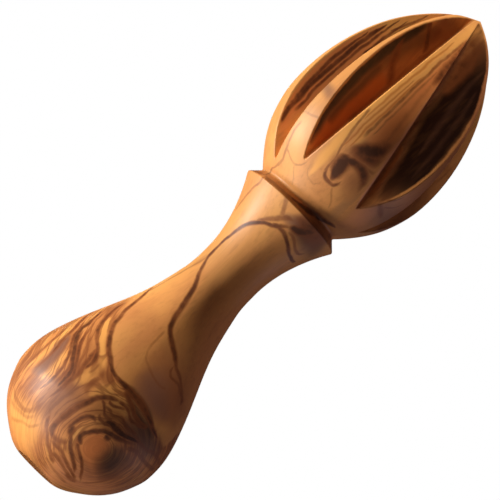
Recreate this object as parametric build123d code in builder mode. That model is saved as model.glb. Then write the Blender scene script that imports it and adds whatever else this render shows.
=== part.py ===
from build123d import *

import os
from math import radians, tan

# Wooden citrus reamer, turned and carved from one blank of olive wood.
# It stands on the flat end of its bulb: the origin is the middle of that flat, and +Z runs up the
# turning axis to the point of the head. A bearing is an angle round +Z, counted from -Y towards +X.
# All lengths are millimetres and all angles are degrees.

# Turned outline, from the base up: the radius of each swell, waist and edge, and how far it
# stands above the one before it. The last is the point, on the axis.
base_radius = 6.3
bulb_radius = 21.55
bulb_rise = 19.7
waist_radius = 8.24
waist_rise = 47.9
collar_radius = 14.45
collar_rise = 20.6
quirk_radius = 11.85
quirk_rise = 2.6
head_radius = 22.3
head_rise = 24.4
point_rise = 39.8

# Small rounds left by the sanding of the turned edges.
base_round = 1.0
collar_round = 0.35
quirk_round = 0.6

# The revolved skin closes on itself along a line at this bearing, in the middle of a land.
seam_bearing = 188.5

# V-shaped flutes: the root of each runs straight, from the skin of the head towards its point.
flute_root_round = 0.35
flute_overrun = 5.0
ridge_round = 0.35

# Slopes of the outline where two stretches of it meet, as rise over run.
foot_slope = 0.2
flare_slope = 1.65
shoulder_slope = 0.98
point_slope = 0.5

# Inner points of each stretch: shares of its step in radius and of its step in height.
foot_shares = [(0.355, 0.138), (0.52, 0.235), (0.835, 0.53), (0.95, 0.74)]
handle_shares = [(0.105, 0.17), (0.455, 0.42), (0.80, 0.665), (0.945, 0.83)]
flare_shares = [(0.225, 0.465), (0.585, 0.76)]
shoulder_shares = [(0.289, 0.138), (0.50, 0.258), (0.725, 0.428), (0.885, 0.618)]
point_shares = [(0.08, 0.33), (0.25, 0.577), (0.487, 0.774), (0.766, 0.925)]

# Each flute: its bearing, its opening, the radius of its root at the widest height of the head
# and at the height of the point, and how far the root drifts sideways on its way up, the last
# three as shares of the head's radius. They are as uneven as the cutting by hand left them.
flutes = [
    (-101.0, 68.0, 0.529, 0.188, -0.045),
    (-59.0, 54.0, 0.462, 0.152, -0.103),
    (-23.9, 49.0, 0.538, 0.027, -0.049),
    (35.6, 76.0, 0.570, 0.040, -0.040),
    (76.0, 60.0, 0.547, 0.224, 0.099),
    (117.0, 70.0, 0.538, 0.188, 0.036),
    (165.0, 74.0, 0.556, 0.179, 0.013),
    (212.0, 72.0, 0.547, 0.202, -0.018),
]


def between(start, end, shares):
    """Points between two corners of the outline, at shares of the radius step and height step."""
    run, rise = end[0] - start[0], end[1] - start[1]
    return [(start[0] + run * across, start[1] + rise * up) for across, up in shares]


# Heights above the base.
waist_height = bulb_rise + waist_rise
collar_height = waist_height + collar_rise
quirk_height = collar_height + quirk_rise
head_height = quirk_height + head_rise
overall_length = head_height + point_rise

# Corners of the turned outline, as radius and height.
foot = (base_radius, 0)
bulb = (bulb_radius, bulb_rise)
waist = (waist_radius, waist_height)
collar = (collar_radius, collar_height)
quirk = (quirk_radius, quirk_height)
head = (head_radius, head_height)
point = (0, overall_length)
upright = (0, 1)

with BuildPart() as reamer:
    with BuildSketch(Plane.left.rotated((0, 0, seam_bearing))):
        with BuildLine():
            Line((0, 0), foot)
            Spline(foot, *between(foot, bulb, foot_shares), bulb, tangents=[(1, foot_slope), upright])
            Spline(bulb, *between(bulb, waist, handle_shares), waist, tangents=[upright, upright])
            flare = between(waist, collar, flare_shares)
            Spline(waist, *flare, collar, tangents=[upright, (1, flare_slope)])
            Line(collar, quirk)
            shoulder = between(quirk, head, shoulder_shares)
            Spline(quirk, *shoulder, head, tangents=[(1, shoulder_slope), upright])
            Spline(head, *between(head, point, point_shares), point, tangents=[upright, (-1, point_slope)])
            Line(point, (0, 0))
        make_face()
    revolve(axis=Axis.Z)

    # The turned edges: the rim of the flat, the collar's rim and the quirk above it.
    turned_edges = reamer.edges().filter_by(GeomType.CIRCLE).sort_by(Axis.Z)
    fillet(turned_edges[0], radius=base_round)
    fillet(turned_edges[1], radius=collar_round)
    fillet(turned_edges[2], radius=quirk_round)

    # The flutes: each is cut by a long wedge whose inner edge lies along the root.
    for bearing, opening, root_share, point_share, drift_share in flutes:
        outward = Vector(0, -head_radius, 0).rotate(Axis.Z, bearing)
        sideways = Vector(head_radius, 0, 0).rotate(Axis.Z, bearing)
        climb = outward * (point_share - root_share) + sideways * drift_share + Vector(0, 0, point_rise)
        start = outward * root_share + Vector(0, 0, head_height)
        spread = head_radius * tan(radians(opening / 2))
        with BuildSketch(Plane(origin=start, x_dir=-sideways, z_dir=climb)) as wedge:
            with BuildLine():
                Polyline((0, 0), (spread, head_radius), (-spread, head_radius), close=True)
            make_face()
            fillet(wedge.vertices().sort_by_distance(start)[0], radius=flute_root_round)
        extrude(amount=point_rise + flute_overrun, both=True, mode=Mode.SUBTRACT)

    # The ridges: the edges where the flutes leave the turned skin of the head.
    skin = reamer.faces().filter_by(GeomType.REVOLUTION).sort_by(Axis.Z)[-1]
    flute_walls = reamer.faces().filter_by_position(Axis.Z, head_height, overall_length) - [skin]
    ridges = skin.edges() & flute_walls.edges()
    fillet(ridges, radius=ridge_round)

os.makedirs("parts", exist_ok=True)
reamer.part.label = "reamer"
export_step(reamer.part, "parts/reamer.step")
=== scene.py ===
"""Turned olive-wood citrus reamer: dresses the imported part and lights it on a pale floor."""

import logging
import math
from dataclasses import dataclass, replace
from enum import Enum
from typing import Mapping, Optional, Sequence, Union

import bmesh
import bpy
from mathutils import Matrix, Vector


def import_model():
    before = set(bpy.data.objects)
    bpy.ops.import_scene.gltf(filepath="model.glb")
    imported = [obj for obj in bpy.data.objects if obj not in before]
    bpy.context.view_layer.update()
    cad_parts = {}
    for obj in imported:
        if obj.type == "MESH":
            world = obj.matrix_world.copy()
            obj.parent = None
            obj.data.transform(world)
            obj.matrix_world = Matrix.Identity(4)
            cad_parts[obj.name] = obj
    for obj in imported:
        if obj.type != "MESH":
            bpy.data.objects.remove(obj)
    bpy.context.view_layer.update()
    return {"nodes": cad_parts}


LOG = logging.getLogger("reamer")
MILLIMETRES = 1000.0  # in a metre
FULL_TURN = 360.0
LEAST_RADIUS = 0.1  # of the turned skin at its point, in millimetres
MIDDLE = 0.5  # of what runs from 0 to 1: noise, and the span from the left side to the right

# The curve of standard screens: full level, end and slope of its straight toe, offset and power.
SCREEN_CURVE = (255.0, 0.04045, 12.92, 0.055, 2.4)

Colour = tuple[float, float, float]
Place = tuple[float, float, float]
Span = tuple[float, float]  # where a step starts and where it ends

WHITE: Colour = (1.0, 1.0, 1.0)


def tone(red: int, green: int, blue: int) -> Colour:
    """Turn a screen colour into the linear one that shaders use.

    Args:
        red, green, blue: The colour as it shows on a screen, each from 0 to 255.

    Returns:
        The same colour in linear light.
    """
    full, toe, slope, offset, power = SCREEN_CURVE

    def linear(channel: int) -> float:
        """Linear light of one channel."""
        share = channel / full
        return share / slope if share <= toe else ((share + offset) / (1.0 + offset)) ** power

    return linear(red), linear(green), linear(blue)


# ----------------------------------------
# Shader maths
# ----------------------------------------


class Wire:
    """A shader socket that Python expressions can be written on."""

    def __init__(self, board: "NodeBoard", socket: bpy.types.NodeSocket) -> None:
        """Wrap an output socket of a node on the board."""
        self.board = board
        self.socket = socket

    @property
    def is_vector(self) -> bool:
        """Whether the socket carries three numbers."""
        return self.socket.type in ("VECTOR", "RGBA")

    def pick(self, name: str) -> "Wire":
        """Another output of the same node."""
        return Wire(self.board, self.socket.node.outputs[name])

    def _combine(self, operation: str, left: "Term", right: "Term") -> "Wire":
        """Add a Math or Vector Math node, whichever suits the two terms.

        Args:
            operation: What it does.
            left, right: The two terms.

        Returns:
            The result.
        """
        vector = any(isinstance(term, Wire) and term.is_vector for term in (left, right))
        kind = "ShaderNodeVectorMath" if vector else "ShaderNodeMath"
        return self.board.node(kind, {"operation": operation}, {0: left, 1: right})

    def __add__(self, other: "Term") -> "Wire":
        """Self plus other."""
        return self._combine("ADD", self, other)

    def __radd__(self, other: "Term") -> "Wire":
        """Other plus self."""
        return self._combine("ADD", other, self)

    def __sub__(self, other: "Term") -> "Wire":
        """Self minus other."""
        return self._combine("SUBTRACT", self, other)

    def __rsub__(self, other: "Term") -> "Wire":
        """Other minus self."""
        return self._combine("SUBTRACT", other, self)

    def __mul__(self, other: "Term") -> "Wire":
        """Self times other."""
        return self._combine("MULTIPLY", self, other)

    def __rmul__(self, other: "Term") -> "Wire":
        """Other times self."""
        return self._combine("MULTIPLY", other, self)

    def __truediv__(self, other: "Term") -> "Wire":
        """Self divided by other."""
        return self._combine("DIVIDE", self, other)

    def __rtruediv__(self, other: "Term") -> "Wire":
        """Other divided by self."""
        return self._combine("DIVIDE", other, self)

    def __abs__(self) -> "Wire":
        """Self without its sign."""
        return self.board.node("ShaderNodeMath", {"operation": "ABSOLUTE"}, {0: self})


Term = Union[float, Sequence[float], Wire]


class NodeBoard:
    """Builds the nodes of one material or of the world."""

    def __init__(self, tree: bpy.types.NodeTree) -> None:
        """Start on an empty tree."""
        self.tree = tree
        tree.nodes.clear()

    def node(
        self,
        kind: str,
        settings: Optional[Mapping[str, object]] = None,
        inputs: Optional[Mapping[Union[int, str], Term]] = None,
        output: Union[int, str] = 0,
    ) -> Optional[Wire]:
        """Add a node.

        Args:
            kind: The node's type.
            settings: Its properties, set first. "curves" holds a curve node's point lists.
            inputs: Values or links of its sockets, by name or number.
            output: The output that is wanted.

        Returns:
            The output as a wire, or nothing for a node that has no output.
        """
        made = self.tree.nodes.new(kind)
        for name, value in (settings or {}).items():
            if name == "curves":
                self._set_curves(made.mapping, value)
            else:
                setattr(made, name, value)
        for name, term in (inputs or {}).items():
            self._feed(made.inputs[name], term)
        return Wire(self, made.outputs[output]) if made.outputs else None

    def _feed(self, socket: bpy.types.NodeSocket, term: Term) -> None:
        """Link a wire to a socket, or set the socket's own value.

        Args:
            socket: The input socket.
            term: The wire or the value.
        """
        if isinstance(term, Wire):
            self.tree.links.new(term.socket, socket)
        elif socket.type == "RGBA":
            values = tuple(term) if isinstance(term, Sequence) else (term,) * 3
            socket.default_value = (*values[:3], 1.0)
        elif socket.type == "VECTOR" and not isinstance(term, Sequence):
            socket.default_value = (term,) * 3
        else:
            socket.default_value = term

    @staticmethod
    def _set_curves(
        mapping: bpy.types.CurveMapping, curves: Sequence[Sequence[tuple[float, float]]]
    ) -> None:
        """Give each curve of a mapping its points.

        Args:
            mapping: The curves of a curve node.
            curves: The points of each curve, from left to right.
        """
        for curve, points in zip(mapping.curves, curves):
            while len(curve.points) < len(points):
                curve.points.new(1.0, 1.0)
            for point, place in zip(curve.points, points):
                point.location = place
                point.handle_type = "AUTO_CLAMPED"
        mapping.extend = "HORIZONTAL"
        mapping.update()

    def math(self, operation: str, *terms: Term) -> Wire:
        """A Math node for what has no operator."""
        return self.node("ShaderNodeMath", {"operation": operation}, dict(enumerate(terms)))

    def highest(self, left: Term, right: Term) -> Wire:
        """The larger of two values."""
        return self.math("MAXIMUM", left, right)

    def lowest(self, left: Term, right: Term) -> Wire:
        """The smaller of two values."""
        return self.math("MINIMUM", left, right)

    def step(self, value: Term, start: float, end: float) -> Wire:
        """A smooth step from 0 at start to 1 at end, which may be the lower one."""
        settings = {"interpolation_type": "SMOOTHSTEP", "clamp": False}
        return self.node("ShaderNodeMapRange", settings, {0: value, 1: start, 2: end})

    def mix(self, share: Term, first: Term, second: Term) -> Wire:
        """Two colours mixed: all first at share 0, all second at share 1."""
        settings = {"data_type": "RGBA", "blend_type": "MIX", "clamp_factor": True}
        return self.node("ShaderNodeMix", settings, {0: share, 6: first, 7: second}, output=2)

    def vector(self, x: Term, y: Term, z: Term) -> Wire:
        """Three values as one vector."""
        return self.node("ShaderNodeCombineXYZ", None, {0: x, 1: y, 2: z})

    def grey(self, value: Term) -> Wire:
        """One value as all three channels of a colour."""
        return self.node("ShaderNodeCombineColor", None, {0: value, 1: value, 2: value})

    def noise(self, place: Wire, scale: float, detail: float = 2.0, rough: float = 0.5) -> Wire:
        """Smooth noise from 0 to 1 over a place in space."""
        inputs = {"Vector": place, "Scale": scale, "Detail": detail, "Roughness": rough}
        return self.node("ShaderNodeTexNoise", {"noise_dimensions": "3D"}, inputs)


# ----------------------------------------
# The wood
# ----------------------------------------


class Run(Enum):
    """How a stroke lies on the wood."""

    ALONG = "bearing, read off by height"
    AROUND = "height, read off by bearing"
    SWIRL = "distance from the swirl's eye, read off by the angle round it"
    DOWN = "distance to the right of the axis, read off by height"
    ACROSS = "height, read off by the distance to the right of the axis"


class Tone(Enum):
    """What a stroke turns the wood to."""

    # Dark veins; down the root of a flute and towards the head's right outline this tone is painted
    # shade.
    VEIN_AND_SHADE = "brown at half strength and nearly black at full strength"
    # Yellow sapwood; down the middle land and at the top of the outer left flute it is painted
    # light.
    PALE = "yellow sapwood"
    AMBER = "orange"
    # Deep orange; inside the flute left of the middle it is painted bounce light.
    EMBER = "deep orange, inside a flute"
    # Reddish brown; towards the head's right outline and right of the knot it is also painted
    # shade.
    RUSSET = "reddish brown"
    # Pinkish tan; along the broad flute's ridge it is a painted highlight, and low on the bulb's
    # right it is painted bounce light.
    SALMON = "pinkish tan"
    SMOKE = "greyish brown"
    # Dark heartwood; under the collar's right side it is deepened with painted shade.
    HEART = "dark heartwood"


ALONG, AROUND, SWIRL, DOWN, ACROSS = Run
VEIN_AND_SHADE, PALE, AMBER, EMBER, RUSSET, SALMON, SMOKE, HEART = Tone


class Zone(Enum):
    """Which surfaces a stroke shows on."""

    ANY = "everywhere"
    TURNED = "the turned skin"
    CARVED = "the walls of the flutes"


@dataclass(frozen=True)
class TurnedSkin:
    """Outline of the turned blank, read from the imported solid."""

    heights: tuple[float, ...]
    radii: tuple[float, ...]

    @classmethod
    def from_node(cls, node: bpy.types.Object, slices: int = 155) -> "TurnedSkin":
        """Measure the widest radius at each height.

        Args:
            node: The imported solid's object.
            slices: How many heights are measured.

        Returns:
            The outline in millimetres.
        """
        points = [vertex.co * MILLIMETRES for vertex in node.data.vertices]
        top = max(point.z for point in points)
        widest = [0.0] * (slices + 1)
        for point in points:
            index = round(point.z / top * slices)
            widest[index] = max(widest[index], math.hypot(point.x, point.y))
        known = [index for index, radius in enumerate(widest) if radius > 0.0]
        return cls(
            tuple(index * top / slices for index in known), tuple(widest[index] for index in known)
        )

    def radius(self, height: float) -> float:
        """Radius of the skin.

        Args:
            height: Millimetres above the base.

        Returns:
            The radius there, in millimetres.
        """
        for low, high, near, far in zip(self.heights, self.heights[1:], self.radii, self.radii[1:]):
            if height <= high:
                return near + (far - near) * (height - low) / (high - low)
        return self.radii[-1]

    def bearing(self, across: float, height: float, behind: bool) -> float:
        """Bearing in degrees of a place on the skin, seen from the front or from behind."""
        share = max(-1.0, min(1.0, across / max(self.radius(height), LEAST_RADIUS)))
        return math.degrees(math.asin(share)) + (FULL_TURN / 2.0 if behind else 0.0)


@dataclass(frozen=True)
class Stroke:
    """A line or patch in the wood.

    Attributes:
        run: How it lies.
        width: Its full width in millimetres.
        strength: How strongly it shows, up to 1.
        places: Its course as seen from the front, or from behind: millimetres to the right of
            the axis, height, and where it is given, the width there as a share of the width.
        tone: What it turns the wood to.
        zone: Which surfaces it shows on.
        soft: How far from the edge it fades, inwards and outwards, as a share of half the width.
        behind: Whether its course is seen from behind.
    """

    run: Run
    width: float
    strength: float
    places: tuple[tuple[float, ...], ...]
    tone: Tone = VEIN_AND_SHADE
    zone: Zone = Zone.ANY
    soft: float = 0.7
    behind: bool = False


def shown(
    strokes: Sequence[Stroke], zone: Zone = Zone.ANY, behind: bool = False
) -> tuple[Stroke, ...]:
    """The same strokes on one kind of surface, or with their courses seen from behind."""
    return tuple(replace(stroke, zone=zone, behind=behind) for stroke in strokes)


# The eye of the swirl on the bulb, seen from the front: right of the axis, and height.
SWIRL_EYE = (6.0, 12.5)

# Spans that the curves of the strokes are laid over, in millimetres.
HEIGHT_SPAN = 160.0
ACROSS_SPAN = 50.0

NECK_STROKES = (
    # The main vein: an arch below the collar, down the waist and round the top of the bulb.
    Stroke(ALONG, 1.1, 0.8, (
        (2.6, 84.2), (1.2, 83.2), (0.2, 82.2), (-1, 81.4), (-3, 80.1), (-5, 78.1), (-6, 76),
        (-6.4, 73, 0.8), (-6.6, 70, 0.8), (-6.5, 66.5, 0.9), (-5.8, 63.5), (-4.8, 60.5),
        (-3.9, 58, 1.2), (-2.9, 54.5, 1.3), (-2, 50.5, 1.3), (-1.5, 48, 1.3), (-0.7, 46, 1.3),
        (1, 44.5, 1.4), (3.2, 43, 1.5), (5.5, 41.3, 1.4), (7, 40),
    )),
    Stroke(ALONG, 0.6, 0.5, (
        (-4.2, 59), (-3.2, 54.5), (-2.3, 50.5), (-1.7, 48), (-0.9, 46), (1, 44.3), (3.2, 42.8),
        (5.2, 41.4),
    ), HEART),
    Stroke(ACROSS, 0.9, 0.55, ((5, 41.6), (7, 40.2), (9, 39.2), (11, 38), (13, 36.4), (14.4, 35))),
    Stroke(ACROSS, 0.8, 0.5, ((6.2, 40.2), (6.8, 38.6), (8.2, 37.5), (10, 37.6), (12.4, 36.6))),
    Stroke(AROUND, 1.0, 0.75, (
        (-1.4, 81.5), (0.3, 82.3), (1.8, 82.3), (3.2, 82), (4.6, 81.2), (6.2, 80.3), (8, 79.6),
        (9.6, 79.6),
    )),
    Stroke(AROUND, 0.9, 0.5, ((3, 83.2), (5, 83), (7, 81.8), (8.6, 81.6), (9.8, 82.6))),
    Stroke(ALONG, 1.3, 0.58, (
        (-4.2, 79.6, 0.4), (-3, 81.2), (-1.8, 82.8), (-0.6, 84.2), (0.6, 85.2), (2, 86.2),
    )),
    Stroke(ALONG, 1.2, 0.46, ((-0.4, 83.6), (-1.2, 85.4), (-2.4, 87.2), (-3, 88.6))),
    Stroke(ACROSS, 2.0, 0.95, (
        (2, 84, 0.4), (3.4, 84.5, 0.9), (4.8, 85.1), (6.4, 86.2, 0.9), (8.4, 87.8, 0.6),
    ), soft=0.95),
    Stroke(ACROSS, 6.0, 0.95, (
        (-1.6, 84.6, 0.1), (1, 85.4, 0.4), (4, 86.2, 0.8), (8, 86.2), (13.4, 86),
    ), SMOKE, soft=0.9),
    # Dark heartwood under the collar's right side, deepened with painted shade.
    Stroke(ACROSS, 5.4, 0.6, ((2.6, 86.2, 0.3), (7, 86.4), (12.4, 86)), HEART, soft=1.0),
    Stroke(ACROSS, 5.4, 0.75, (
        (0.4, 86.2, 0.2), (4, 87.2, 0.7), (7, 87.2), (12.6, 86.8),
    ), soft=1.0),
    Stroke(ALONG, 0.8, 0.42, (
        (-9.8, 78.5), (-10.5, 82), (-10.8, 85), (-10.6, 88), (-10.4, 91), (-10.3, 93), (-10.8, 95),
        (-12.2, 98), (-13.3, 101), (-13.8, 104),
    )),
    # Its left branch, faint at first, which goes round the figured part of the bulb.
    Stroke(ALONG, 0.9, 0.4, (
        (-6.5, 66.8), (-6.9, 64), (-7.6, 61.5), (-8.8, 57.5), (-9.8, 53.5), (-10.9, 49),
    )),
    Stroke(ALONG, 2.0, 0.3, ((-6.9, 66, 0.4), (-7.2, 63.6), (-7.6, 61, 0.7)), RUSSET),
    Stroke(ALONG, 1.2, 0.75, (
        (-10.7, 51.5), (-11.2, 46), (-11.6, 42), (-11.3, 39), (-10.9, 37), (-10.2, 35.2),
    )),
    Stroke(AROUND, 1.3, 0.8, (
        (-11.3, 38.4), (-10.8, 36.5), (-10, 34.7), (-8.5, 32.6), (-7, 31), (-5.5, 29.8), (-4, 28.6),
        (-2.5, 27.8), (-1, 27.5), (1, 27.5), (3, 27.6), (5, 27.6, 1.2), (7, 27.4, 1.5),
        (9, 27.1, 1.3), (11, 26.5), (12.5, 25.9), (14.2, 25.2, 0.8), (16.4, 24.6, 0.3),
    )),
    Stroke(AROUND, 2.0, 0.95, (
        (1, 27.5, 0.5), (4, 27.6), (7, 27.4), (10, 26.9), (13.4, 25.7, 0.6),
    ), HEART, soft=0.8),
    Stroke(ACROSS, 2.2, 0.75, (
        (3.4, 26.4, 0.5), (6, 25.6), (9, 25), (12.6, 24.4), (16, 23.4),
    ), HEART, soft=1.0),
    # The redder patch under the main vein, and its edge.
    Stroke(DOWN, 0.7, 0.35, ((-1.2, 44.5), (-1, 41), (-0.6, 38.5), (0.3, 36.2))),
    Stroke(ACROSS, 0.7, 0.32, (
        (-0.4, 37.2), (0.6, 35.9), (2.2, 35.2), (4.5, 34.3), (7, 33.8), (9, 34.4),
    )),
    Stroke(DOWN, 9.0, 0.35, (
        (-7.4, 48, 0.4), (-6, 42), (-4.4, 36), (-2, 30, 0.6),
    ), RUSSET, soft=1.0),
    Stroke(ACROSS, 15.0, 0.85, (
        (-1.6, 39.6, 0.5), (0.4, 38.6, 0.8), (4, 36.2), (8, 34), (13, 32.8, 0.7), (19, 32, 0.3),
    ), RUSSET),
    Stroke(ACROSS, 8.0, 0.75, (
        (1, 32.4, 0.4), (6, 31.8), (10, 30.6, 0.8), (15, 29.6, 0.3),
    ), SMOKE, soft=1.0),
    Stroke(ACROSS, 5.0, 0.45, ((7, 24, 0.4), (11, 23.6), (15, 22.8), (20, 22)), HEART, soft=1.0),
    # Painted bounce light: paler pinkish wood low on the bulb's right.
    Stroke(AROUND, 8.0, 0.5, ((1, 3, 0.5), (7, 3.6), (13, 5), (20.4, 9.6)), SALMON, soft=1.0),
)

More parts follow.
